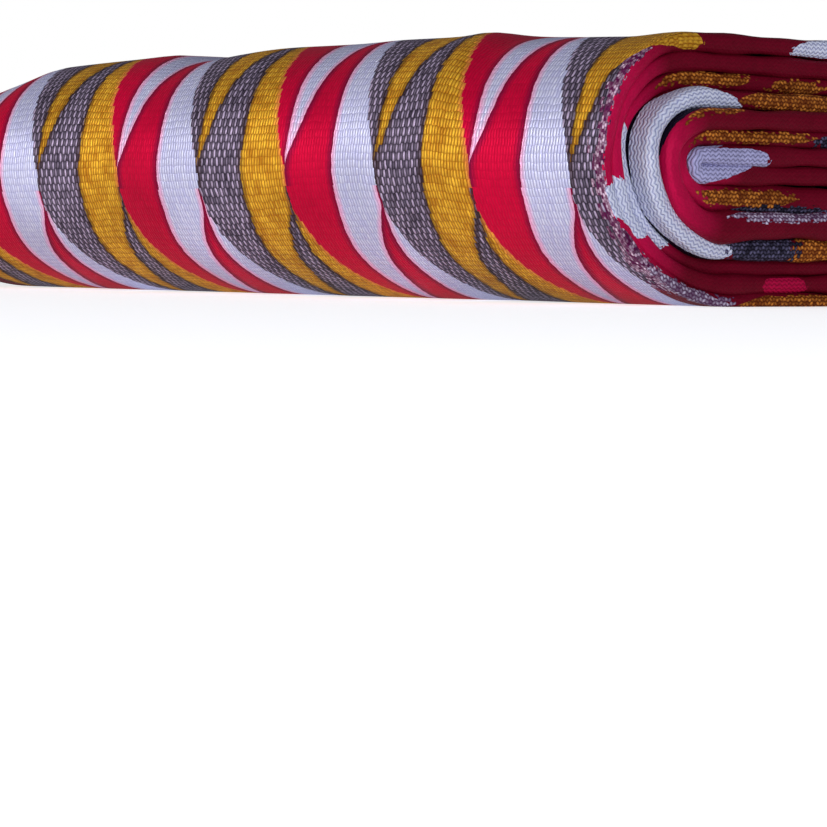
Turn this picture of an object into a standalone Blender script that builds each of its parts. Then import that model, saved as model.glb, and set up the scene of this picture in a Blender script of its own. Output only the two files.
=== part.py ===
# Folded kente cloth: one woven length, laid back and forth in fourteen layers.
# Pleats of the cloth are stacked first, and the stack is then doubled over, so that
# seven noses lie one inside the other at the front and six tight turns lie at the back.
# X runs along the bundle, -Y is the side with the noses, +Z is up, and the bundle
# rests on z = 0 with its origin in the middle of its underside.
from collections import namedtuple
from math import cos, pi, sin

import bmesh
import bpy

for old in list(bpy.data.objects):
    bpy.data.objects.remove(old)

MM = 0.001

# The cloth itself, in millimetres: its thickness, and its width along the bundle.
CLOTH_THICKNESS = 2.4
CLOTH_WIDTH = 254.0

# Steps of the loft: each quarter of a nose, each half turn at the back, each flat run.
WIDE_QUARTER_STEPS = 6
SMALL_QUARTER_STEPS = 3
SMALL_NOSE_REACH = 6.0
BACK_TURN_STEPS = 5
RUN_STEPS = 3

# The layers, from the top one down, in millimetres. height is that of the layer's middle,
# back is how far back it goes before it turns or stops, right is where its right edge lies,
# and rise is how far the middle of its flat run stands above or below that height.
Layer = namedtuple("Layer", "height back right rise")
LAYERS = {
    "top 1": Layer(59.8, 98.8, 113.0, 0.0),
    "top 2": Layer(55.2, 98.8, 112.8, -0.3),
    "top 3": Layer(50.9, 94.0, 111.4, 0.2),
    "top 4": Layer(46.9, 94.0, 116.4, -0.4),
    "top 5": Layer(42.2, 92.0, 119.2, 0.4),
    "top 6": Layer(38.2, 92.0, 117.6, 0.3),
    "top 7": Layer(34.0, 87.0, 118.8, 0.5),
    "low 7": Layer(29.8, 95.0, 118.6, 0.4),
    "low 6": Layer(24.6, 95.0, 117.4, -0.3),
    "low 5": Layer(18.4, 97.6, 119.0, 0.5),
    "low 4": Layer(12.9, 97.6, 116.2, 0.3),
    "low 3": Layer(9.0, 96.4, 111.2, 0.1),
    "low 2": Layer(5.1, 96.4, 112.8, 0.0),
    "low 1": Layer(1.2, 95.0, 113.0, 0.0),
}

# The noses at the front, from the outermost in, in millimetres. front is the foremost point
# of the cloth's middle and height the level of that point. The cloth curves back from there
# over the length upper to the layer above, and over the length lower to the layer below.
Nose = namedtuple("Nose", "front height upper lower")
NOSES = {
    1: Nose(-98.8, 35.4, 28.0, 43.0),
    2: Nose(-94.8, 35.0, 25.5, 38.5),
    3: Nose(-91.3, 34.6, 22.5, 34.0),
    4: Nose(-87.0, 34.0, 18.5, 28.0),
    5: Nose(-82.6, 33.2, 13.0, 19.5),
    6: Nose(-78.8, 32.4, 8.5, 12.0),
    7: Nose(-74.9, 31.8, 2.4, 2.4),
}

# Stations from the left edge (0) to the right edge (1). tall is the bundle's height there as
# a share of its height at the right edge, nose is how far the front falls back and tail how
# far the back comes forward there, in millimetres.
Station = namedtuple("Station", "share tall nose tail")
STATIONS = [
    Station(0.000, 0.780, 4.0, 3.0),
    Station(0.039, 0.815, 2.4, 1.6),
    Station(0.079, 0.880, 1.4, 0.8),
    Station(0.161, 0.962, 0.4, 0.0),
    Station(0.319, 1.000, 0.9, 1.0),
    Station(0.390, 0.982, 0.4, 1.6),
    Station(0.465, 1.000, 0.2, 1.2),
    Station(0.640, 1.028, 0.8, 0.4),
    Station(0.740, 1.030, 0.3, 0.3),
    Station(0.787, 1.050, 0.0, 0.2),
    Station(0.812, 1.020, 0.3, 0.8),
    Station(0.870, 1.012, 0.7, 1.4),
    Station(1.000, 1.008, 0.6, 1.8),
]


def blend(start, end, share):
    """The value a given share of the way from start to end."""
    return start + (end - start) * share


def nose_curve(number, upward):
    """Points (y, z, right) around one nose, up from its lower layer or down from its upper."""
    nose = NOSES[number]
    low = LAYERS[f"low {number}"]
    top = LAYERS[f"top {number}"]
    small = nose.upper < SMALL_NOSE_REACH
    steps = SMALL_QUARTER_STEPS if small else WIDE_QUARTER_STEPS
    points = []
    for step in range(2 * steps + 1):
        turn = pi * step / (2 * steps)
        if step <= steps:
            y = nose.front + nose.lower * (1 - sin(turn))
            z = nose.height - (nose.height - low.height) * cos(turn)
        else:
            y = nose.front + nose.upper * (1 - sin(turn))
            z = nose.height - (top.height - nose.height) * cos(turn)
        points.append((y, z, blend(low.right, top.right, step / (2 * steps))))
    return points if upward else points[::-1]


def back_turn(first, second):
    """Points (y, z, right) around the tight turn between two neighbouring layers."""
    start = LAYERS[first]
    end = LAYERS[second]
    radius = abs(start.height - end.height) / 2
    middle = (start.height + end.height) / 2
    points = []
    for step in range(BACK_TURN_STEPS + 1):
        turn = pi * step / BACK_TURN_STEPS
        y = start.back - radius * (1 - sin(turn))
        z = blend(start.height, middle, 1 - cos(turn))
        points.append((y, z, blend(start.right, end.right, step / BACK_TURN_STEPS)))
    return points


def flat_run(start, end, rise):
    """The points of a flat run between two curves, without its two ends."""
    points = []
    for step in range(1, RUN_STEPS):
        share = step / RUN_STEPS
        lift = rise * sin(pi * share)
        y, z, right = (blend(a, b, share) for a, b in zip(start, end))
        points.append((y, z + lift, right))
    return points


def loose_end(name):
    """The single point where a layer stops at the back."""
    layer = LAYERS[name]
    return [(layer.back, layer.height, layer.right)]


def section():
    """The whole folded section, from the loose end under the bundle to the one inside it."""
    numbers = sorted(NOSES)
    path = loose_end("low 1")
    for number in numbers:
        upward = number % 2 == 1
        arrives, leaves = ("low", "top") if upward else ("top", "low")
        curve = nose_curve(number, upward)
        path += flat_run(path[-1], curve[0], LAYERS[f"{arrives} {number}"].rise) + curve
        leaving = f"{leaves} {number}"
        if number == numbers[-1]:
            turn = loose_end(leaving)
        else:
            turn = back_turn(leaving, f"{leaves} {number + 1}")
        path += flat_run(path[-1], turn[0], LAYERS[leaving].rise) + turn
    return path


def placed(point, station):
    """A point of the section, set at one station along the bundle."""
    y, z, right = point
    front = NOSES[1].front
    back = LAYERS["top 1"].back
    depth_share = (y - front) / (back - front)
    pushed = y + blend(station.nose, -station.tail, depth_share)
    x = right - CLOTH_WIDTH * (1 - station.share)
    ground = CLOTH_THICKNESS / 2
    return (x * MM, pushed * MM, (ground + (z - ground) * station.tall) * MM)


def cloth_material():
    """Woven cotton and rayon yarn, dull, in the crimson that covers most of the cloth."""
    material = bpy.data.materials.new("woven_kente")
    material.use_nodes = True
    shader = material.node_tree.nodes["Principled BSDF"]
    shader.inputs["Base Color"].default_value = (0.42, 0.008, 0.035, 1.0)
    shader.inputs["Roughness"].default_value = 0.75
    shader.inputs["Metallic"].default_value = 0.0
    return material


def folded_cloth(collection):
    """The open folded sheet, lofted through the stations and thickened to the cloth."""
    path = section()
    surface = bmesh.new()
    rows = []
    for point in path:
        rows.append([surface.verts.new(placed(point, station)) for station in STATIONS])
    for row, following in zip(rows, rows[1:]):
        for place in range(len(STATIONS) - 1):
            corners = (row[place], following[place], following[place + 1], row[place + 1])
            face = surface.faces.new(corners)
            face.smooth = True
    bmesh.ops.recalc_face_normals(surface, faces=surface.faces)
    mesh = bpy.data.meshes.new("kente_cloth")
    surface.to_mesh(mesh)
    surface.free()
    cloth = bpy.data.objects.new("kente_cloth", mesh)
    collection.objects.link(cloth)
    thickness = cloth.modifiers.new("cloth thickness", "SOLIDIFY")
    thickness.thickness = CLOTH_THICKNESS * MM
    thickness.offset = 0.0
    thickness.use_even_offset = True
    thickness.use_quality_normals = True
    cloth.data.materials.append(cloth_material())
    return cloth


def centre_on_floor(cloth):
    """Slide the bundle along X and Y so that the origin is in the middle of its box."""
    bpy.context.view_layer.update()
    box = cloth.evaluated_get(bpy.context.evaluated_depsgraph_get()).bound_box
    for axis in (0, 1):
        low = min(corner[axis] for corner in box)
        high = max(corner[axis] for corner in box)
        cloth.location[axis] = -(low + high) / 2


collection = bpy.data.collections.new("folded_kente_cloth")
bpy.context.scene.collection.children.link(collection)
centre_on_floor(folded_cloth(collection))
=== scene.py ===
from collections import namedtuple
from math import cos, pi, radians, sin

import bpy
import numpy as np
from mathutils import Euler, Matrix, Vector


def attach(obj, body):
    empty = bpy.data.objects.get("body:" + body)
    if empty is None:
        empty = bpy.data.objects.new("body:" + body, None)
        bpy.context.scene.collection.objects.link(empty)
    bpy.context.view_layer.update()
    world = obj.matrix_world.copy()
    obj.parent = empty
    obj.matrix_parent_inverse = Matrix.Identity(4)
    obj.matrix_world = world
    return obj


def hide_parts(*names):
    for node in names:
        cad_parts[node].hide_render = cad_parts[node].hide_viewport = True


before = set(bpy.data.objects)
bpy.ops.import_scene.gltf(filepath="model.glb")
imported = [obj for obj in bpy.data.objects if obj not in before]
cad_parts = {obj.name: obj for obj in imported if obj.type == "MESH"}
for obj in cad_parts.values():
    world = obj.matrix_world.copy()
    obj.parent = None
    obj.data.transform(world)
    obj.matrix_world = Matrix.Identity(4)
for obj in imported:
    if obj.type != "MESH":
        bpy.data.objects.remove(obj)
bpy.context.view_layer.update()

# The folded length of cloth: hand-woven strip cloth, pleated into a stack of seven pleats and
# doubled over, so that seven noses lie one inside the other. It is a single sheet, 2.4 mm
# thick, whose woven edges are beaten up a little fuller than the cloth between them.
MM = 0.001
CLOTH_THICKNESS = 2.4
CLOTH_WIDTH = 254.0
# The bundle is slid this far along X and Y, so that the origin lies under its middle.
SLIDE_ALONG = 11.852
SLIDE_BACK = 0.063

# Per layer, in millimetres: the level of its middle, where it turns at the back, where its
# right edge lies, how far its run rises in the middle, and how thick its woven edge is.
Layer = namedtuple("Layer", "height back right rise hem")
LAYERS = {
    "top 1": Layer(59.8, 98.8, 113.0, 0.0, 4.4),
    "top 2": Layer(55.2, 98.8, 112.8, -0.3, 4.6),
    "top 3": Layer(50.9, 94.0, 111.4, 0.2, 4.6),
    "top 4": Layer(46.9, 94.0, 116.4, -0.4, 4.4),
    "top 5": Layer(42.2, 92.0, 119.2, 0.4, 5.0),
    "top 6": Layer(38.2, 92.0, 117.6, 0.3, 4.2),
    "top 7": Layer(34.0, 87.0, 118.8, 0.5, 4.6),
    "low 7": Layer(29.8, 95.0, 118.6, 0.4, 4.6),
    "low 6": Layer(24.6, 95.0, 117.4, -0.3, 7.1),
    "low 5": Layer(18.4, 97.6, 119.0, 0.5, 6.8),
    "low 4": Layer(12.9, 97.6, 116.2, 0.3, 5.0),
    "low 3": Layer(9.0, 96.4, 111.2, 0.1, 4.4),
    "low 2": Layer(5.1, 96.4, 112.8, 0.0, 4.4),
    "low 1": Layer(1.2, 95.0, 113.0, 0.0, 3.2),
}

# Per nose, in millimetres: its foremost point, the level of that point, how far it curves
# back to the layer above and to the one below, and how thick its woven edge is.
Nose = namedtuple("Nose", "front height upper lower hem")
NOSES = {
    1: Nose(-98.8, 35.4, 28.0, 43.0, 4.2),
    2: Nose(-94.8, 35.0, 25.5, 38.5, 3.6),
    3: Nose(-91.3, 34.6, 22.5, 34.0, 2.6),
    4: Nose(-87.0, 34.0, 18.5, 28.0, 4.0),
    5: Nose(-82.6, 33.2, 13.0, 19.5, 4.8),
    6: Nose(-78.8, 32.4, 8.5, 12.0, 3.8),
    7: Nose(-74.9, 31.8, 2.4, 2.4, 4.0),
}

# Along the bundle, from the left edge (0) to the right edge (1): the bundle's height as a
# share of that at the right edge, and how far its front and back give way, in millimetres.
Station = namedtuple("Station", "share tall nose tail")
STATIONS = [
    Station(0.000, 0.780, 4.0, 3.0),
    Station(0.039, 0.815, 2.4, 1.6),
    Station(0.079, 0.880, 1.4, 0.8),
    Station(0.161, 0.962, 0.4, 0.0),
    Station(0.319, 1.000, 0.9, 1.0),
    Station(0.390, 0.982, 0.4, 1.6),
    Station(0.465, 1.000, 0.2, 1.2),
    Station(0.640, 1.028, 0.8, 0.4),
    Station(0.740, 1.030, 0.3, 0.3),
    Station(0.787, 1.050, 0.0, 0.2),
    Station(0.812, 1.020, 0.3, 0.8),
    Station(0.870, 1.012, 0.7, 1.4),
    Station(1.000, 1.008, 0.6, 1.8),
]

# Lengths of cloth between two rows of points: round a nose, round a back turn, along a run.
NOSE_ROW = 1.4
TURN_ROW = 0.75
RUN_ROW = 3.2
LEAST_ROWS = 3
LEAST_TURN_ROWS = 8
# A quarter of a nose is about this many times as long as the line between its ends.
ARC_EXCESS = 1.2
# At a back turn the woven edge is at most this share of the turn's radius thick.
TURN_HEM_SHARE = 1.7
# Each turn of the cloth is carried this far past its back turn, to meet the next one.
JOIN_AFTER_TURN = 24.0


def blend(start, end, share):
    """The value a given share of the way from start to end."""
    return start + (end - start) * share


def arc_rows(start, end, row):
    """Shares from 0 to 1 for a stretch of cloth with rows about row millimetres apart."""
    steps = max(LEAST_ROWS, round(np.hypot(end[0] - start[0], end[1] - start[1]) / row))
    return np.linspace(0, 1, steps + 1)


def nose_curve(number):
    """Rows (y, z, right, hem) up round one nose, from its lower layer to its upper one."""
    nose = NOSES[number]
    low = LAYERS[f"low {number}"]
    top = LAYERS[f"top {number}"]
    rows = []
    for end, reach, first in ((low, nose.lower, True), (top, nose.upper, False)):
        rise = abs(end.height - nose.height)
        shares = arc_rows((0, 0), (reach * ARC_EXCESS, rise * ARC_EXCESS), NOSE_ROW)
        for share in shares if first else shares[1:]:
            turn = pi / 2 * (share if first else 1 + share)
            side = -1 if first else 1
            y = nose.front + reach * (1 - sin(turn))
            z = nose.height + side * rise * abs(cos(turn))
            passed = (share if first else 1 + share) / 2
            near = abs(1 - 2 * passed)
            right = blend(low.right, top.right, passed)
            rows.append((y, z, right, blend(nose.hem, end.hem, near ** 2)))
    return rows


def back_turn(start, end):
    """Rows around the tight turn at the back, from one layer to its neighbour."""
    radius = abs(start.height - end.height) / 2
    steps = max(LEAST_TURN_ROWS, round(pi * radius / TURN_ROW))
    rows = []
    for share in np.linspace(0, 1, steps + 1):
        y = start.back - radius * (1 - sin(pi * share))
        z = blend(start.height, end.height, (1 - cos(pi * share)) / 2)
        right = blend(start.right, end.right, share)
        hem = min(blend(start.hem, end.hem, share), TURN_HEM_SHARE * radius)
        rows.append((y, z, right, hem))
    return rows


def run_rows(start, end, rise):
    """Rows of a flat run between two curves, without its two ends."""
    rows = []
    for share in arc_rows(start, end, RUN_ROW)[1:-1]:
        y, z, right, hem = (blend(a, b, share) for a, b in zip(start, end))
        rows.append((y, z + rise * sin(pi * share), right, hem))
    return rows


def whole_path():
    """The rows of the whole length of cloth, and the row at which each turn ends."""
    numbers = sorted(NOSES)
    first = LAYERS["low 1"]
    path = [(first.back, first.height, first.right, first.hem)]
    noses = {}
    ends = []
    for number in numbers:
        upward = number % 2 == 1
        arrives, leaves = ("low", "top") if upward else ("top", "low")
        arriving = LAYERS[f"{arrives} {number}"]
        leaving = LAYERS[f"{leaves} {number}"]
        curve = nose_curve(number) if upward else nose_curve(number)[::-1]
        path += run_rows(path[-1], curve[0], arriving.rise)
        foremost = min(range(len(curve)), key=lambda place: curve[place][0])
        noses[number] = len(path) + foremost
        path += curve
        if number == numbers[-1]:
            closing = [(leaving.back, leaving.height, leaving.right, leaving.hem)]
        else:
            closing = back_turn(leaving, LAYERS[f"{leaves} {number + 1}"])
        path += run_rows(path[-1], closing[0], leaving.rise)
        path += closing
        ends.append(len(path) - 1)
    return np.array(path), noses, ends


PATH, NOSE_ROWS, TURN_ENDS = whole_path()
STEPS = np.hypot(np.diff(PATH[:, 0]), np.diff(PATH[:, 1]))
TRAVEL = np.concatenate([[0.0], np.cumsum(STEPS)])
# Millimetres along the cloth, counted from the foremost point of the outermost nose.
ALONG = TRAVEL - TRAVEL[NOSE_ROWS[1]]


# The stations' values are drawn this finely, from this far before the bundle to this far past
# it, and their corners are rounded off over this many points.
FINE_POINTS = 561
PAST_ENDS = 0.06
ROUNDING_POINTS = 15


def smooth_station(name, shares):
    """A station value along the bundle, with the corners between the stations rounded off."""
    known = np.array([station.share for station in STATIONS])
    values = np.array([getattr(station, name) for station in STATIONS])
    fine = np.linspace(-PAST_ENDS, 1 + PAST_ENDS, FINE_POINTS)
    drawn = np.interp(fine, known, values)
    weights = np.hanning(ROUNDING_POINTS)
    carried_on = np.pad(drawn, ROUNDING_POINTS // 2, mode="edge")
    rounded = np.convolve(carried_on, weights / weights.sum(), mode="valid")
    return np.interp(shares, fine, rounded)


# The cloth's main creases and swells: which turn, how far up from its nose and how far from the right
# edge the middle lies, half its length and half its width, how much it leans, and its depth (minus is a
# trough), all in millimetres but the lean.
Crease = namedtuple("Crease", "turn up inward long wide lean depth")
CREASES = [
    Crease(1, 40, 52, 34, 7, 0.35, -1.1),
    Crease(1, 44, 63, 30, 8, 0.30, 0.5),
    Crease(1, 52, 155, 40, 9, -0.25, -1.0),
    Crease(1, 10, 96, 30, 10, 0.20, -0.45),
    Crease(1, -6, 172, 26, 9, -0.15, -0.5),
    Crease(1, 26, 128, 24, 12, 0.10, 0.5),
    Crease(1, -30, 70, 22, 14, 0.25, -0.5),
    Crease(1, 0, 222, 28, 10, 0.15, -0.6),
    Crease(1, 92, 40, 44, 12, 0.55, -0.8),
    Crease(1, 120, 118, 52, 10, -0.45, -0.9),
    Crease(1, 128, 130, 50, 13, -0.45, 0.6),
    Crease(1, 100, 205, 46, 12, 0.35, -0.9),
    Crease(1, 160, 66, 40, 14, 0.20, 0.7),
    Crease(1, 176, 180, 36, 15, -0.20, -0.8),
    Crease(4, 4, 6, 16, 9, 0.0, 0.5),
    Crease(5, -20, 5, 14, 8, 0.0, 0.5),
]


def relief(turn, up, inward):
    """How far the creases of a turn lift its cloth, for each row and column."""
    rise = np.zeros((len(up), len(inward)))
    for crease in CREASES:
        if crease.turn != turn:
            continue
        forth = up[:, None] - crease.up
        aside = inward[None, :] - crease.inward - crease.lean * forth
        rise += crease.depth * np.exp(-(forth / crease.long) ** 2 - (aside / crease.wide) ** 2)
    return rise


# Distances in from an edge at which columns of points stand, to turn the edge over roundly.
EDGE_COLUMNS = np.array([0.0, 0.03, 0.12, 0.35, 0.8, 1.4, 2.1, 3.0, 4.2, 6.0, 8.2, 11.0, 14.0, 17.0])
MIDDLE_COLUMN = 3.2

# The woven edge is full over its first few millimetres and thins out to the plain cloth. Its
# rim is a little flatter than round, and its thickness and line waver along the cloth, each
# by some waves: how much, how long for each radian, and how far ahead they are, in radians.
HEM_FULL = 4.0
HEM_REACH = 17.0
RIM_FLATNESS = 2.7
Wave = namedtuple("Wave", "much long ahead")
HEM_WAVES = [Wave(0.1, 6.7, 0.0), Wave(0.07, 2.9, 1.0)]
SWAY_WAVES = [Wave(0.5, 23.0, 0.0), Wave(0.35, 9.1, 0.0), Wave(0.175, 3.7, 0.0)]
SWAY_REACH = 6.0
# The outermost turn's edge swells inwards, less so towards the crown, and the next turn's
# edge pushes out a little against it around its nose.
CROWN_SWELL = 0.8
CROWN_REACH = 45.0
SECOND_BULGE = 0.4
SECOND_BULGE_REACH = 34.0
SECOND_BULGE_WIDTH = 7.0


def columns():
    """Distances from the right edge to each column of points, right edge first."""
    inner = CLOTH_WIDTH - 2 * EDGE_COLUMNS[-1]
    middle = np.linspace(0, inner, round(inner / MIDDLE_COLUMN) + 1)[1:-1] + EDGE_COLUMNS[-1]
    return np.concatenate([EDGE_COLUMNS, middle, CLOTH_WIDTH - EDGE_COLUMNS[::-1]])


INWARD = columns()
SHARES = 1 - INWARD / CLOTH_WIDTH
TALL = smooth_station("tall", SHARES)
GIVE_FRONT = smooth_station("nose", SHARES)
GIVE_BACK = smooth_station("tail", SHARES)


def wavering(waves, along):
    """The sum of some waves at places along the cloth."""
    return sum(wave.much * np.sin(along / wave.long + wave.ahead) for wave in waves)


def placed(rows):
    """Middle points of the cloth for some rows of the path, (row, column, xyz), in metres."""
    y, z, right = (PATH[rows, part][:, None] for part in range(3))
    front = NOSES[1].front
    depth_share = (y - front) / (LAYERS["top 1"].back - front)
    pushed = y + blend(GIVE_FRONT[None, :], -GIVE_BACK[None, :], depth_share)
    ground = CLOTH_THICKNESS / 2
    lifted = ground + (z - ground) * TALL[None, :]
    near_edge = np.exp(-np.minimum(INWARD, CLOTH_WIDTH - INWARD) / SWAY_REACH)[None, :]
    across = right - INWARD[None, :] + wavering(SWAY_WAVES, ALONG[rows])[:, None] * near_edge
    points = np.stack(np.broadcast_arrays(across + SLIDE_ALONG, pushed + SLIDE_BACK, lifted), -1)
    return points * MM


def normals_of(points):
    """Unit normals of a grid of points, away from the inside of the folds."""
    along = np.gradient(points, axis=0)
    across = np.gradient(points, INWARD * MM, axis=1)
    normal = np.cross(along, across)
    return normal / np.linalg.norm(normal, axis=2, keepdims=True)


def half_thickness(rows):
    """Half the cloth's thickness at each row and column: full at the hems, round at the rims."""
    uneven = 1 + wavering(HEM_WAVES, ALONG[rows])
    hem = (PATH[rows, 3] * uneven)[:, None] * TALL[None, :]
    inward = np.minimum(INWARD, CLOTH_WIDTH - INWARD)[None, :]
    fade = np.clip((HEM_REACH - inward) / (HEM_REACH - HEM_FULL), 0, 1)
    thick = CLOTH_THICKNESS + (hem - CLOTH_THICKNESS) * fade ** 2 * (3 - 2 * fade)
    rim = hem / 2
    roundness = (1 - (1 - np.clip(inward / rim, 0, 1)) ** RIM_FLATNESS) ** (1 / RIM_FLATNESS)
    return thick * roundness / 2 * MM


def turn_rows(number):
    """The rows of the path that one turn of the cloth takes."""
    def joint(end):
        return int(np.searchsorted(TRAVEL, TRAVEL[end] + JOIN_AFTER_TURN))

    start = 0 if number == 1 else joint(TURN_ENDS[number - 2])
    end = len(PATH) - 1 if number == len(NOSES) else joint(TURN_ENDS[number - 1])
    return np.arange(start, end + 1)


def from_rim(face):
    """How far along the surface each point of one face is from the right-hand rim, in mm."""
    steps = np.linalg.norm(np.diff(face, axis=1), axis=2) / MM
    return np.pad(np.cumsum(steps, axis=1), ((0, 0), (1, 0)))


def sheet_faces(rows, turn):
    """The outer and the inner face of one turn of the sheet, as grids of points in metres."""
    upward = 1 if turn % 2 else -1
    middle = placed(np.arange(len(PATH)))
    normal = normals_of(middle)[rows] * upward
    up = upward * (ALONG[rows] - ALONG[NOSE_ROWS[turn]])
    lift = relief(turn, up, INWARD)[:, :, None] * MM
    half = half_thickness(rows)[:, :, None]
    inset = 0.0
    if turn == 1:
        swell = np.clip(half - CLOTH_THICKNESS / 2 * MM, 0, None)
        inset = swell * (1 - CROWN_SWELL * np.clip(ALONG[rows] / CROWN_REACH, 0, 1)[:, None, None])
    elif turn == 2:
        near_nose = np.exp(-(up / SECOND_BULGE_REACH) ** 4)[:, None, None]
        near_rim = np.clip(1 - INWARD / SECOND_BULGE_WIDTH, 0, 1)[None, :, None]
        inset = -SECOND_BULGE * MM * near_nose * near_rim
    raised = middle[rows] + normal * (lift - inset)
    return raised + normal * half, raised - normal * half


def quads(grid, flip):
    """The four corners of each cell of a grid, the other way round where flip is true."""
    a, b, c, d = grid[:-1, :-1], grid[1:, :-1], grid[1:, 1:], grid[:-1, 1:]
    order = (a, d, c, b) if flip else (a, b, c, d)
    return np.stack(order, -1).reshape(-1, 4)


def sheet_mesh(name, rows, turn):
    """A closed sheet over some rows of the path, with its place on the cloth as UV maps."""
    outer, inner = sheet_faces(rows, turn)
    outer_in, inner_in = from_rim(outer), from_rim(inner)
    cloth_up = np.broadcast_to(ALONG[rows][:, None], outer_in.shape)
    # The two faces share their points at the rims, where the thickness comes to nothing.
    outer_index = np.arange(cloth_up.size).reshape(cloth_up.shape)
    inner_index = outer_index + cloth_up.size
    inner_index[:, [0, -1]] = outer_index[:, [0, -1]]
    used, renumbered = np.unique(np.stack([outer_index, inner_index]), return_inverse=True)
    outer_index, inner_index = renumbered.reshape(2, *cloth_up.shape)
    points = np.concatenate([outer.reshape(-1, 3), inner.reshape(-1, 3)])[used]

    # Each block: its points, their places in from the rim and along the cloth, whether its
    # faces are turned over, and its side, 1 for the outer face and -1 for the inner one.
    turned = turn % 2 == 0
    blocks = [(outer_index, outer_in, cloth_up, turned, 1.0),
              (inner_index, inner_in, cloth_up, not turned, -1.0)]
    for row, flip in ((0, not turned), (-1, turned)):
        cap = np.stack([outer_index[row], inner_index[row]])
        cap_in = np.stack([outer_in[row]] * 2)
        cap_up = np.stack([cloth_up[row]] * 2)
        blocks.append((cap, cap_in, cap_up, flip, 0.0))
    faces = []
    places = []
    sides = []
    for index, block_in, block_up, flip, side in blocks:
        spots = np.stack([quads(block_in, flip), quads(block_up, flip)], -1)
        for corners, corner_spots in zip(quads(index, flip).tolist(), spots):
            kept = [n for n, corner in enumerate(corners) if corner not in corners[:n]]
            if len(kept) < 3:
                continue
            faces.append([corners[n] for n in kept])
            places += [tuple(corner_spots[n]) for n in kept]
            sides += [(side, side)] * len(kept)
    mesh = bpy.data.meshes.new(name)
    mesh.from_pydata(points.tolist(), [], faces)
    for map_name, values in (("cloth", places), ("side", sides)):
        mesh.uv_layers.new(name=map_name).data.foreach_set("uv", np.array(values, float).ravel())
    mesh.shade_smooth()
    mesh.update()
    return mesh


# The weave of the cloth: cotton and rayon yarn in crimson, pale lavender, gold and
# mauve-grey. The covering yarns run round the folds and hide the ribs, which run along the
# bundle, and the colours are laid in as half-dropped rows of curved, pointed leaves.

# In millimetres: how far apart the yarns and the ribs lie, how long the repeat is along the
# bundle and a row of leaves round it, where one row begins, up from the outermost nose, and
# how far in from the rim its crimson and its lavender meet there.
YARN = 0.9
RIB = 1.8
REPEAT = 62.0
LEAF_ROW = 57.0
LEAF_MIDDLE = -9.0
LEAF_SPLIT = 27.1
# The leaves' tips keep this far from the ends of a row and are this soft, as a share of the
# row, and this blunt. Halfway along, a leaf's sides ease off by this share.
TIP_INSET = 5.6
TIP_SOFTNESS = 0.035
TIP_BLUNTNESS = 0.3
LEAF_EASE = 0.28
# The stripes bow: they lean by this share away from their middle, where they turn over about
# this many millimetres, and the middle lies this far above the start of that one row.
BOW = 0.11
BOW_ROUND = 14.0
BOW_MIDDLE = 3.0

# Each dye has the colour of a yarn's crown and, darker, that of the gap beside it: partly the yarns'
# own colour and partly painted shade in the hollow between them.
Tone = namedtuple("Tone", "yarn gap")
CRIMSON = Tone("CA0436", "A2022C")
LAVENDER = Tone("EAEAFC", "8C8ABC")
MAUVE = Tone("C4B0CC", "120A1A")
GOLD = Tone("FAC03A", "964E06")


def colour(code):
    """A colour written as six hex digits, as the light values that the shaders take."""
    channels = [int(code[place:place + 2], 16) / 255 for place in (0, 2, 4)]
    lit = [c / 12.92 if c <= 0.04045 else ((c + 0.055) / 1.055) ** 2.4 for c in channels]
    return (*lit, 1.0)


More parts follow.
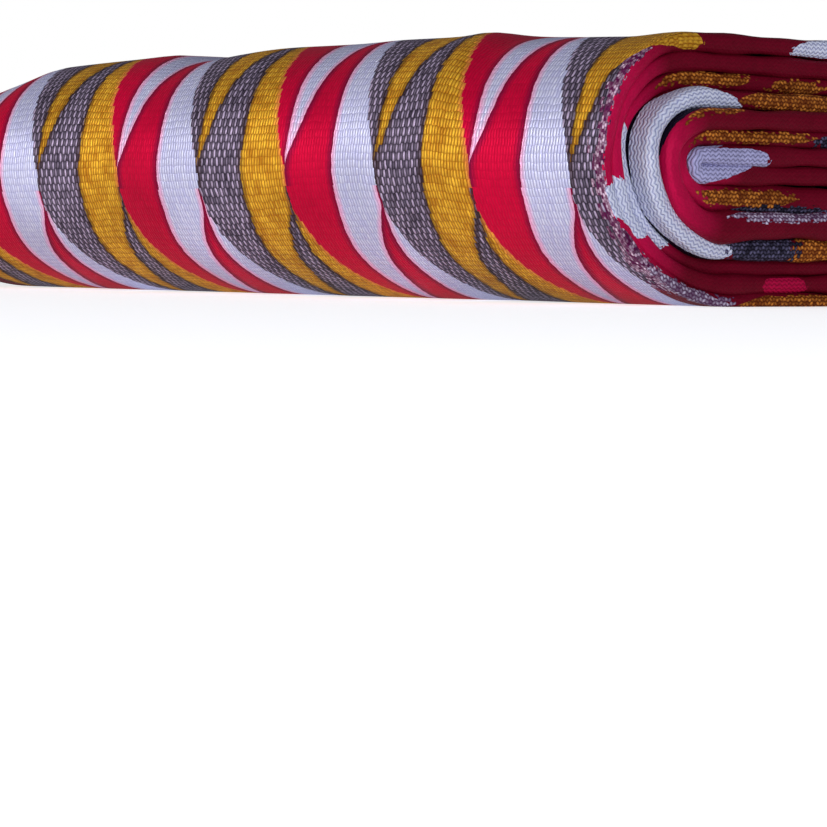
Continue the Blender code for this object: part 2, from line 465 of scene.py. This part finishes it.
class Wire:
    """A value, vector or colour on its way between shader nodes, so that sums read as sums."""

    def __init__(self, tree, socket=None):
        self.tree = tree
        self.socket = socket

    def node(self, kind, settings, sockets, output=0):
        """Adds a node of a kind, sets it up, feeds its sockets, and returns one output."""
        made = self.tree.nodes.new(kind)
        for name, value in settings.items():
            setattr(made, name, value)
        for name, value in sockets.items():
            if isinstance(value, Wire):
                self.tree.links.new(value.socket, made.inputs[name])
            else:
                made.inputs[name].default_value = value
        return Wire(self.tree, made.outputs[output])

    def feed(self, shader, name):
        """Leads this to a socket of the finished shader."""
        self.tree.links.new(self.socket, shader.inputs[name])

    def maths(self, operation, *others):
        values = dict(enumerate((self, *others)))
        return self.node("ShaderNodeMath", {"operation": operation}, values)

    def __add__(self, other):
        return self.maths("ADD", other)

    __radd__ = __add__

    def __sub__(self, other):
        return self.maths("SUBTRACT", other)

    def __rsub__(self, other):
        return (self * -1.0).maths("ADD", other)

    def __mul__(self, other):
        return self.maths("MULTIPLY", other)

    __rmul__ = __mul__

    def __truediv__(self, other):
        return self.maths("DIVIDE", other)

    def __pow__(self, other):
        return self.maths("POWER", other)

    def __gt__(self, other):
        return self.maths("GREATER_THAN", other)

    def __lt__(self, other):
        return self.maths("LESS_THAN", other)

    def __abs__(self):
        return self.maths("ABSOLUTE")

    def floor(self):
        return self.maths("FLOOR")

    def root(self):
        return self.maths("SQRT")

    def cosine(self):
        return self.maths("COSINE")

    def within(self, period):
        """The remainder after a whole number of periods, never negative."""
        return self.maths("FLOORED_MODULO", period)

    def larger(self, other):
        return self.maths("MAXIMUM", other)

    def smaller(self, other):
        return self.maths("MINIMUM", other)

    def clamped(self):
        return self.node("ShaderNodeClamp", {}, {"Value": self})

    def hill(self):
        """From 1 at nought down to 0 at a half to either side, round like a yarn."""
        return (1.0 - self * self * 4.0).clamped()

    def noise(self, kind):
        """A soft, uneven value around nought over the places that this vector gives."""
        sockets = {"Vector": self, "Scale": kind.scale, "Detail": kind.detail}
        return self.node("ShaderNodeTexNoise", {"noise_dimensions": "2D"}, sockets) - 0.5

    def chance(self, other):
        """A random value from 0 to 1 for each pair of whole numbers, this one and another."""
        pair = self.node("ShaderNodeCombineXYZ", {}, {0: self, 1: other})
        return self.node("ShaderNodeTexWhiteNoise", {"noise_dimensions": "2D"}, {"Vector": pair})

    # The Mix node takes its two colours at its inputs 6 and 7, and gives one at its output 2.
    def between(self, low, high):
        """The colour low where this is 0, high where it is 1, and a blend between."""
        settings = {"data_type": "RGBA"}
        return self.node("ShaderNodeMix", settings, {"Factor": self, 6: low, 7: high}, 2)

    def shaded(self, tint):
        """This colour times another colour or a grey."""
        settings = {"data_type": "RGBA", "blend_type": "MULTIPLY"}
        return self.node("ShaderNodeMix", settings, {"Factor": 1.0, 6: self, 7: tint}, 2)


# How coarse and how detailed the weave's slow drift, its flutter and its mottling are.
Noise = namedtuple("Noise", "scale detail")
DRIFT = Noise(0.03, 2.0)
FLUTTER = Noise(0.4, 3.0)
MOTTLE = Noise(0.22, 4.0)
# How far the drift and the flutter carry the ribs and the yarns off their lines, and how far
# a rib shifts its yarns, in millimetres.
RIB_DRIFT = 2.2
RIB_FLUTTER = 0.9
YARN_DRIFT = 1.4
YARN_FLUTTER = 0.5
RIB_SHIFT = 0.45
# A float is a low mound with blunt ends. In the deep weave of mauve and gold and the calm one
# of crimson and lavender: the power that rounds it off across, how high its ends stand as a
# share of its middle, and how much lower it is where it passes under a rib.
BLUNT_ENDS = 0.7
END_SHARPNESS = 3.7
Weave = namedtuple("Weave", "power ends dip")
DEEP = Weave(1.0, 0.2, 0.35)
CALM = Weave(0.6, 0.7, 0.12)


class Floats:
    """The floats of the weave: each yarn passes over one rib, and its neighbour over the next."""

    def __init__(self, tree):
        start = Wire(tree)
        spot = start.node("ShaderNodeUVMap", {"uv_map": "cloth"}, {})
        side_spot = start.node("ShaderNodeUVMap", {"uv_map": "side"}, {})
        self.inward = start.node("ShaderNodeSeparateXYZ", {}, {0: spot}, 0)
        self.along = start.node("ShaderNodeSeparateXYZ", {}, {0: spot}, 1)
        self.side = start.node("ShaderNodeSeparateXYZ", {}, {0: side_spot}, 0)
        self.drift = spot.noise(DRIFT)
        self.flutter = spot.noise(FLUTTER)
        self.mottle = spot.noise(MOTTLE)
        self.drifted = self.along + self.drift * RIB_DRIFT
        self.rib_place = (self.drifted + self.flutter * RIB_FLUTTER) / RIB
        rib = self.rib_place.floor()
        shift = start.node("ShaderNodeTexWhiteNoise", {"noise_dimensions": "1D"}, {"W": rib})
        wavered = self.inward + self.drift * YARN_DRIFT + self.flutter * YARN_FLUTTER
        yarn_place = (wavered + shift * RIB_SHIFT) / YARN
        yarn = yarn_place.floor()
        self.tone = yarn.chance(rib)
        self.across_rib = self.rib_place - rib - 0.5
        round_yarn = (yarn_place - yarn - 0.5).hill()
        fall = self.across_rib * self.across_rib * END_SHARPNESS
        round_rib = (1.0 - fall).clamped() ** BLUNT_ENDS
        self.lowered = (yarn + rib).within(2.0)

        def mound(weave):
            ends = round_rib * (1.0 - weave.ends) + weave.ends
            return round_yarn ** weave.power * ends * (1.0 - self.lowered * weave.dip)

        self.deep = mound(DEEP)
        self.calm = mound(CALM)

    def dyed(self, dyeing):
        """How light the dye is on each float, uneven from float to float and mottled."""
        return dyeing.light - self.tone * dyeing.uneven + self.mottle * dyeing.mottled


class Stripes:
    """The leaf stripes at a place on the cloth: which colours lie there, as masks."""

    def __init__(self, inward, along):
        up = along - LEAF_MIDDLE
        quarter = REPEAT / 4
        opened = (up.within(LEAF_ROW) - TIP_INSET) / (LEAF_ROW - 2 * TIP_INSET)
        closing = 1.0 - opened
        past_tip = (opened * opened + TIP_SOFTNESS ** 2).root()
        before_tip = (closing * closing + TIP_SOFTNESS ** 2).root()
        open_share = (past_tip - before_tip) * 0.5 + 0.5
        from_middle = up - BOW_MIDDLE
        bow = BOW * ((from_middle * from_middle + BOW_ROUND ** 2).root() - BOW_ROUND)
        row_number = (up / LEAF_ROW).floor()
        start = -1.0 * bow - (row_number + open_share) * quarter - (LEAF_SPLIT + quarter)
        self.place = (-1.0 * inward - start).within(REPEAT)
        turn = open_share * 2.0 - 1.0
        swell = turn * (1.0 - LEAF_EASE) + turn * turn * turn * LEAF_EASE
        self.upper = (swell * 0.5 + 0.5) * quarter
        self.second = self.place > REPEAT / 2

    def light_half(self, place):
        """Where the right-hand colour of a leaf lies, for a place from 0 to half a repeat."""
        inner = (place > self.upper) * (place < self.upper * 2.0 - TIP_BLUNTNESS)
        outer = place > self.upper + (REPEAT / 4 + TIP_BLUNTNESS)
        return (inner + outer).clamped()

    def seam(self, place, reach):
        """How near the line between a leaf's two colours is, fading over reach."""
        first = abs(place - self.upper)
        last = abs(place - (self.upper + REPEAT / 4))
        tip = abs(place - self.upper * 2.0)
        return (1.0 - first.smaller(last).smaller(tip) / reach).clamped()


# Where two colours meet, the yarns of one show through the other along the line: how far, in
# millimetres, how strongly, and in which colour.
Seam = namedtuple("Seam", "reach strength tone")
LAVENDER_SEAM = Seam(2.1, 1.0, "F7A4C6")
CRIMSON_SEAM = Seam(2.2, 0.8, "5C0834")
GOLD_BY_CRIMSON = Seam(1.6, 0.8, "F08448")
GOLD_SEAM = Seam(1.6, 0.75, "30180F")
MAUVE_SEAM = Seam(1.6, 0.8, "30180F")
# Mauve and gold step from float to float and from rib to rib, by parts of a millimetre and
# of a rib, and the lines of crimson and lavender only flutter.
FLOAT_STEP = 0.7
RIB_STEP = 0.6
STEP_FLUTTER = 0.8
SMOOTH_FLUTTER = 0.6
# Where the stepped line beside it gives way, lavender goes on up to this share of the repeat,
# and crimson takes over from there.
LAVENDER_END = 0.66
# How the dye has taken: its lightness, how much it differs between floats, and how mottled it is.
# Crimson is even, and the painted shade in its gaps is only this deep. Gold's floats look fuller than
# mauve's, which are painted darker, as shade, where they pass under a rib.
Dyeing = namedtuple("Dyeing", "light uneven mottled")
PLAIN_DYEING = Dyeing(1.0, 0.4, 0.0)
MAUVE_DYEING = Dyeing(1.3, 0.7, 1.2)
GOLD_DYEING = Dyeing(1.12, 0.5, 1.4)
CRIMSON_DEPTH = 0.6
GOLD_POWER = 0.7
MAUVE_DIP = 0.6
# Crimson lies smooth, lavender less so by this share, and mauve and gold not at all.
LAVENDER_LESS_SMOOTH = 0.5


def yarned(tone, crown, depth=1.0):
    """A yarn's colour on the crown of each float, down to the darker colour of the gap beside it, which
    is partly painted shade between the yarns.
    """
    return (crown * depth + (1.0 - depth)).clamped().between(colour(tone.gap), colour(tone.yarn))


def seamed(yarn, seam, nearness):
    """A yarn's colour, with the seam's own where nearness is 1."""
    return (nearness * seam.strength).between(yarn, colour(seam.tone))


def leaf_colours(floats):
    """The colours of the leaf stripes, and a mask for where they lie smooth."""
    stepped_in = floats.inward + (floats.tone - 0.5) * FLOAT_STEP + floats.flutter * STEP_FLUTTER
    stepped = Stripes(stepped_in, (floats.rib_place - floats.across_rib * RIB_STEP) * RIB)
    smooth = Stripes(floats.inward + floats.flutter * SMOOTH_FLUTTER, floats.along)
    second_place = stepped.place - REPEAT / 2
    pale = smooth.light_half(smooth.place) * (smooth.place < REPEAT * LAVENDER_END)

    crimson = yarned(CRIMSON, floats.calm, CRIMSON_DEPTH)
    crimson = seamed(crimson, CRIMSON_SEAM, smooth.seam(smooth.place, CRIMSON_SEAM.reach))
    lavender = yarned(LAVENDER, floats.calm * floats.dyed(PLAIN_DYEING))
    lavender = seamed(lavender, LAVENDER_SEAM, smooth.seam(smooth.place, LAVENDER_SEAM.reach))

    # Mauve's floats are painted darker where they pass under a rib: painted shade.
    dipped = floats.deep * (1.0 - floats.lowered * MAUVE_DIP)
    mauve = yarned(MAUVE, dipped * floats.dyed(MAUVE_DYEING))
    mauve = seamed(mauve, MAUVE_SEAM, stepped.seam(second_place, MAUVE_SEAM.reach))
    gold = yarned(GOLD, floats.deep ** GOLD_POWER * floats.dyed(GOLD_DYEING))
    by_crimson = (1.0 - (REPEAT - stepped.place) / GOLD_BY_CRIMSON.reach).clamped()
    gold = seamed(gold, GOLD_BY_CRIMSON, by_crimson)
    gold = seamed(gold, GOLD_SEAM, stepped.seam(second_place, GOLD_SEAM.reach))

    first_pair = pale.between(crimson, lavender)
    second_pair = stepped.light_half(second_place).between(mauve, gold)
    lies_smooth = (1.0 - stepped.second) * (1.0 - pale * LAVENDER_LESS_SMOOTH)
    return stepped.second.between(first_pair, second_pair), lies_smooth


# The woven edge at the open end: the yarns turn back there and lie along it in wavy lines and small
# beads. They are the leaves' own yarns and some darker ones, laid in by hand. On them lie painted light
# and painted shade: a lit and a shaded copy of the crimson edge yarn, and near-black painted shade in
# the deep gaps between the turns.
# The first two tones are a shaded and a lit copy of the crimson edge yarn: painted shade and painted
# light.
SHADED_CRIMSON = Tone("740620", "4A0210")
LIT_CRIMSON = Tone("C80E46", "8C062C")
WINE = Tone("F4D4E8", "5A1444")
HEATHER = Tone("F2E6FA", "58204E")
BRONZE = Tone("FFA040", "602008")
SILVER = Tone("F2F4FF", "6066B4")
LILAC = Tone("CCC8F0", "3C3468")
INK = Tone("787292", "0C0812")
# Near-black painted shade, standing in for the shade deep in the gaps between the turns.
GAP_SHADE = Tone("1C1226", "0A0610")

# Patches of yarn in the edge, and of painted light and painted shade, in millimetres: which turn, how
# far up from its nose and how far round from the rim the middle lies (plus is the outer face), half the
# length and half the width, then as shares how much the ends slant and how much the patch leans, and
# its tone.
Patch = namedtuple("Patch", "turn up round long wide slant lean tone")
PATCHES = [
    Patch(1, 4, 4.9, 44, 3.9, 0.0, 0.0, WINE),
    Patch(1, -29, 3.4, 14, 4.2, 0.0, 0.0, WINE),
    Patch(1, -13, -1.6, 5.5, 3.0, 0.6, 0.0, SILVER),
    Patch(1, 29, 5.2, 16, 4.4, 0.0, -0.36, GOLD),
    Patch(1, -48, 0.4, 15, 1.9, 0.0, 0.0, HEATHER),
    Patch(1, -98, 0.8, 34, 2.6, 0.0, 0.0, BRONZE),
    Patch(1, 92, 0.6, 15, 3.0, 3.0, 0.0, SILVER),
    Patch(2, -14, 0.0, 7.5, 30.0, 0.8, 0.0, SILVER),
    # A streak of painted light: the lit copy of the crimson edge yarn.
    Patch(2, -74, 0.6, 9, 2.4, 0.0, 0.0, LIT_CRIMSON),
    Patch(3, -11, 0.0, 16, 30.0, 0.8, 0.0, SILVER),
    Patch(3, 36, 0.7, 16, 1.8, 0.0, 0.0, BRONZE),
    Patch(3, 68, -0.4, 11, 1.6, 0.0, 0.0, BRONZE),
    Patch(4, -8.5, 0.0, 31.5, 34.0, 1.0, 0.0, SILVER),
    Patch(4, 14, -2.6, 23.5, 5.6, 0.0, 0.0, SILVER),
    # A patch of painted shade: the shaded copy of the crimson edge yarn.
    Patch(4, 24, 9.5, 22, 5.0, 0.0, -0.25, SHADED_CRIMSON),
    # The next three are painted shade in deep gaps of the edge.
    Patch(4, -24, 7.2, 18, 2.3, 0.0, 0.16, GAP_SHADE),
    Patch(4, -36, 12.0, 14, 7.4, 0.0, 0.0, GAP_SHADE),
    Patch(4, 0, 8.6, 13, 0.9, 0.0, 0.0, GAP_SHADE),
    Patch(4, -50.5, 0.0, 11.5, 30.0, 0.0, 0.0, INK),
    Patch(4, -83, 0.0, 21, 30.0, 0.0, 0.0, BRONZE),
    Patch(4, 71, 0.2, 36, 3.2, 0.0, 0.0, BRONZE),
    # Painted shade in a deep recess of the edge.
    Patch(5, 14, 6.2, 17, 3.0, 0.0, 0.0, GAP_SHADE),
    Patch(5, 18, 2.2, 10, 0.9, 0.0, 0.0, BRONZE),
    Patch(5, -48, -2.6, 21, 1.7, 0.0, 0.0, HEATHER),
    Patch(6, 28, 0.2, 22, 1.5, 0.0, 0.0, BRONZE),
    Patch(6, 62, -0.6, 15, 1.6, 0.0, 0.0, INK),
    Patch(6, -27, -0.2, 19, 1.9, 0.0, 0.0, BRONZE),
    Patch(6, -45, 3.0, 25, 1.5, 0.0, 0.0, INK),
    Patch(7, 9, -3.0, 21.5, 4.8, 1.6, 0.0, LILAC),
    Patch(7, -7, 0.0, 7.5, 30.0, 3.6, 0.0, LILAC),
]

# The edge reaches this far in from the rim, in millimetres: at the outermost turn, at the
# turns inside it, where it flutters, and at the far end.
FIRST_GROUND = 6.5
INNER_GROUND = 14.0
GROUND_FLUTTER = 3.0
FAR_GROUND = 6.5
# At the outermost turn it ends raggedly, float by float, but never nearer the rim than this,
# and straight where it is further from the middle of the nose than the reach given.
LEAST_GROUND = 3.2
RAGGED_MIDDLE = 4.0
RAGGED_REACH = 40.0
RAGGED_FADE = 3.0

# Between the patches lies a lit copy of the crimson edge yarn around the noses, less at the inner
# turns, and a darker, shaded copy beyond it: painted light and painted shade of the one yarn.
LIT_MIDDLE = -4.0
LIT_REACH = 26.0
LIT_LESS_PER_TURN = 4.0
LIT_FADE = 15.0
LIT_DRIFT = 1.2
LIT_CRIMSON_DEPTH = 0.3
SHADED_CRIMSON_DEPTH = 0.5

# The lines of yarn in the edge: how wide a line is in millimetres, how much of the ribs' wave
# it follows, the power that rounds it off, and how deep the dips between its beads are, each
# bead being a little longer than wide. Ropes and beads are uneven, and specks are rare.
Line = namedtuple("Line", "wide wavy power dips")
ROPE = Line(1.05, 1.0, 0.38, 0.1)
BEAD = Line(0.95, 0.6, 1.0, 0.7)
SPECK = Line(0.66, 0.15, 0.5, 0.4)
ROPE_UNEVEN = 0.12
BEAD_UNEVEN = 0.9
SPECK_RARITY = 2.2
BEAD_LENGTH = 1.25
EDGE_WAVE = 0.24
WAVE_FLUTTER = 0.5
# How high the lines stand as a share of a float: in the ground and in the patches.
GROUND_HEIGHT = 0.2
PATCH_HEIGHT = 0.8
# The higher this power, the nearer to its ends a patch keeps its width.
PATCH_SQUARENESS = 4.0
# Thinly laid yarns fray bead by bead at the ends and sides of a patch, the others only a
# little, in millimetres.
SPARSE = (BRONZE, HEATHER, INK, WINE)
SPARSE_FRAY = 5.0
SPARSE_SCATTER = 1.2
DENSE_FRAY = 1.5
DENSE_SCATTER = 0.8
END_FLUTTER = 1.6


class WovenEdge:
    """The woven edge of one turn: its colours, where they lie, and how high its lines stand."""

    def __init__(self, turn, floats):
        self.floats = floats
        upward = 1.0 if turn % 2 else -1.0
        self.up = (floats.along - float(ALONG[NOSE_ROWS[turn]])) * upward
        self.round_rim = floats.inward * floats.side
        self.wave = (floats.rib_place * (2.0 * pi)).cosine() * EDGE_WAVE + floats.flutter * WAVE_FLUTTER

        rope_line, rope, rope_tone = self.lines(ROPE)
        _, beads, bead_tone = self.lines(BEAD)
        _, specks, speck_tone = self.lines(SPECK)
        roped = rope * (1.0 - rope_tone * ROPE_UNEVEN)
        beaded = beads * (1.0 - bead_tone * BEAD_UNEVEN)
        specked = specks * speck_tone ** SPECK_RARITY
        floated = floats.deep ** GOLD_POWER * floats.dyed(PLAIN_DYEING)
        crowns = {BRONZE: beaded, HEATHER: beaded, INK: beaded, WINE: specked, GOLD: floated}

        # Painted light around the noses and painted shade beyond them, on the crimson edge yarn.
        lit_reach = LIT_REACH - LIT_LESS_PER_TURN * turn
        past_lit = (abs(self.up - LIT_MIDDLE) - lit_reach) / LIT_FADE
        lit_edge = yarned(LIT_CRIMSON, roped, LIT_CRIMSON_DEPTH)
        shaded_edge = yarned(SHADED_CRIMSON, roped, SHADED_CRIMSON_DEPTH)
        self.colours = (past_lit + floats.drift * LIT_DRIFT).clamped().between(lit_edge, shaded_edge)
        rim = self.ground(turn)
        self.rim = rim
        self.mask = rim
        patched = 0.0
        for patch in PATCHES:
            if patch.turn != turn:
                continue
            inside = self.inside(patch, bead_tone)
            yarn = yarned(patch.tone, crowns.get(patch.tone, roped))
            self.colours = inside.between(self.colours, yarn)
            patched = inside.larger(patched)
            if patch.tone is GOLD:
                self.mask = rim.larger(inside)
        stand = patched * (PATCH_HEIGHT - GROUND_HEIGHT) + GROUND_HEIGHT
        self.height = rope_line * rim * stand

    def lines(self, line):
        """Lines along the rim: how round they are, with their beads too, and each bead's tone."""
        place = (self.round_rim + self.wave * line.wavy) / line.wide
        number = place.floor()
        bead_place = self.floats.drifted / (line.wide * BEAD_LENGTH) + number * 0.5
        bead = (bead_place * (2.0 * pi)).cosine() * -0.5 + 0.5
        rounded = (place - number - 0.5).hill()
        beaded = rounded ** line.power * (bead * line.dips + (1.0 - line.dips))
        return rounded, beaded, number.chance(bead_place.floor())

    def inside(self, patch, bead_tone):
        """Where a patch lies, with frayed ends and sides."""
        if patch.tone in SPARSE:
            fray = (bead_tone - 0.5) * SPARSE_FRAY
            scatter = (bead_tone - 0.5) * SPARSE_SCATTER
        else:
            fray = (self.floats.tone - 0.5) * DENSE_FRAY
            scatter = self.floats.flutter * DENSE_SCATTER
        frayed = self.up + fray + self.floats.flutter * END_FLUTTER
        forth = (frayed - self.round_rim * patch.slant - patch.up) / patch.long
        line = patch.round + (self.up - patch.up) * patch.lean
        aside = abs(self.round_rim + scatter - line)
        return aside < (1.0 - forth ** PATCH_SQUARENESS) * patch.wide

    def ground(self, turn):
        """Where the edge's yarns lie at all, at the open end and at the far one."""
        inward = self.floats.inward
        if turn == 1:
            straight = ((abs(self.up - RAGGED_MIDDLE) - RAGGED_REACH) / RAGGED_FADE).clamped()
            ragged = FIRST_GROUND * (1.0 - self.floats.tone * (1.0 - straight))
            reach = ragged.larger(LEAST_GROUND)
        else:
            reach = INNER_GROUND + self.floats.flutter * GROUND_FLUTTER
        return (inward < reach).larger(inward > CLOTH_WIDTH - FAR_GROUND)


# The finish: each float's own shade, the slow fading of the dye over the cloth, the yarns'
# relief, which is weaker where the cloth lies smooth, and the satin, which the edge lacks.
SHADE_OF_FLOAT = 0.12
SHADE_OF_DRIFT = 0.5
SHADE = 0.94
SMOOTHING = 0.7
RELIEF = 0.4
RELIEF_STRENGTH = 0.8
SATIN = 0.35
ROUGHNESS = 0.5
GLEAM = 0.05


def kente_finish(turn):
    """The woven finish of one turn of the cloth, with the colours of its open end."""
    material = bpy.data.materials.new(f"kente_weave_{turn}")
    material.use_nodes = True
    tree = material.node_tree
    shader = tree.nodes["Principled BSDF"]
    floats = Floats(tree)
    leaves, lies_smooth = leaf_colours(floats)
    edge = WovenEdge(turn, floats)

    shade = floats.tone * SHADE_OF_FLOAT + floats.drift * SHADE_OF_DRIFT + SHADE
    grey = shade.node("ShaderNodeCombineColor", {}, {0: shade, 1: shade, 2: shade})
    edge.mask.between(leaves, edge.colours).shaded(grey).feed(shader, "Base Color")
    leaf_height = floats.deep * (1.0 - lies_smooth * SMOOTHING)
    height = leaf_height * (1.0 - edge.rim) + edge.height
    sockets = {"Height": height, "Strength": RELIEF_STRENGTH, "Distance": RELIEF * MM}
    height.node("ShaderNodeBump", {}, sockets).feed(shader, "Normal")
    ((1.0 - edge.rim) * SATIN).feed(shader, "Metallic")
    shader.inputs["Roughness"].default_value = ROUGHNESS
    shader.inputs["Specular IOR Level"].default_value = GLEAM
    return material


# The seven turns of the one length of cloth: each runs from inside one back turn, forward
# round its nose, and back round the next, where it goes on as the following turn.
for number in sorted(NOSES):
    rows = turn_rows(number)
    name = f"kente_turn_{number}"
    cloth = bpy.data.objects.new(name, sheet_mesh(name, rows, number))
    bpy.context.scene.collection.objects.link(cloth)
    cloth.data.materials.append(kente_finish(number))
    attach(cloth, "root")
    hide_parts("kente_cloth")


# The floor: a wide, plain, pale and dull surface that the bundle lies on. To the camera it
# glows a little, so that the ground of the picture stays as light as its surround.
FLOOR_SIZE = 60.0
FLOOR_COLOUR = (0.8, 0.8, 0.8, 1.0)
FLOOR_ROUGHNESS = 0.9
FLOOR_GLOW = (0.24, 0.24, 0.24, 1.0)
FLOOR_GLOW_SEEN = (0.66, 0.66, 0.66, 1.0)
bpy.ops.mesh.primitive_plane_add(size=FLOOR_SIZE)
floor = bpy.context.object
floor.name = "floor"
floor_finish = bpy.data.materials.new("pale_floor")
floor_finish.use_nodes = True
floor_shader = floor_finish.node_tree.nodes["Principled BSDF"]
floor_shader.inputs["Base Color"].default_value = FLOOR_COLOUR
floor_seen = Wire(floor_finish.node_tree).node("ShaderNodeLightPath", {}, {}, "Is Camera Ray")
floor_seen.between(FLOOR_GLOW, FLOOR_GLOW_SEEN).feed(floor_shader, "Emission Color")
floor_shader.inputs["Emission Strength"].default_value = 1.0
floor_shader.inputs["Roughness"].default_value = FLOOR_ROUGHNESS
floor.data.materials.append(floor_finish)

# The light: a soft source low in front of the round folds and a little to the left, a weaker,
# cooler one before the open end, and a dim surround that the camera sees as white. Each lamp
# has its place and size in metres, its power in watts and its tint, and looks at the bundle.
SURROUND_LIGHT = (0.17, 0.17, 0.19, 1.0)
SURROUND_SEEN = (1.0, 1.0, 1.0, 1.0)
world = bpy.data.worlds.new("studio")
bpy.context.scene.world = world
world.use_nodes = True
background = world.node_tree.nodes["Background"]
seen = Wire(world.node_tree).node("ShaderNodeLightPath", {}, {}, "Is Camera Ray")
seen.between(SURROUND_LIGHT, SURROUND_SEEN).feed(background, "Color")
background.inputs["Strength"].default_value = 1.0
bpy.context.scene.view_settings.view_transform = "Standard"
Lamp = namedtuple("Lamp", "place size power tint")
LAMPS = {
    "front": Lamp((-0.35, -1.55, 0.09), 0.5, 22.0, (1.0, 1.0, 1.0)),
    "side": Lamp((1.1, -0.7, 0.2), 0.6, 7.6, (0.78, 0.84, 1.0)),
}
LAMP_AIM = Vector((0.0, 0.0, 0.03))
for name, lamp in LAMPS.items():
    light = bpy.data.lights.new(name, "AREA")
    light.size = lamp.size
    light.energy = lamp.power
    light.color = lamp.tint
    holder = bpy.data.objects.new(name, light)
    bpy.context.scene.collection.objects.link(holder)
    holder.location = lamp.place
    towards = LAMP_AIM - Vector(lamp.place)
    holder.rotation_euler = towards.to_track_quat("-Z", "Y").to_euler()

# The camera: a long lens close above the surface, which looks at the bundle's near corner
# from about as far to its side as to its front. Metres, degrees, and millimetres of lens.
CAMERA_PLACE = (0.6954, -0.7273, 0.0152)
CAMERA_AZIMUTH = 45.05
CAMERA_TILT = -2.645
CAMERA_ROLL = 0.79
CAMERA_LENS = 167.1
CAMERA_SENSOR = 36.0
CAMERA_NEAREST = 0.01
CAMERA_FURTHEST = 60.0
camera_data = bpy.data.cameras.new("camera")
camera_data.lens = CAMERA_LENS
camera_data.sensor_width = CAMERA_SENSOR
camera_data.clip_start = CAMERA_NEAREST
camera_data.clip_end = CAMERA_FURTHEST
camera = bpy.data.objects.new("camera", camera_data)
bpy.context.scene.collection.objects.link(camera)
camera.location = CAMERA_PLACE
aim = Euler((radians(90 + CAMERA_TILT), 0.0, radians(CAMERA_AZIMUTH)), "XYZ").to_matrix()
roll = Euler((0.0, 0.0, radians(CAMERA_ROLL)), "XYZ").to_matrix()
camera.rotation_euler = (aim @ roll).to_euler()
bpy.context.scene.camera = camera
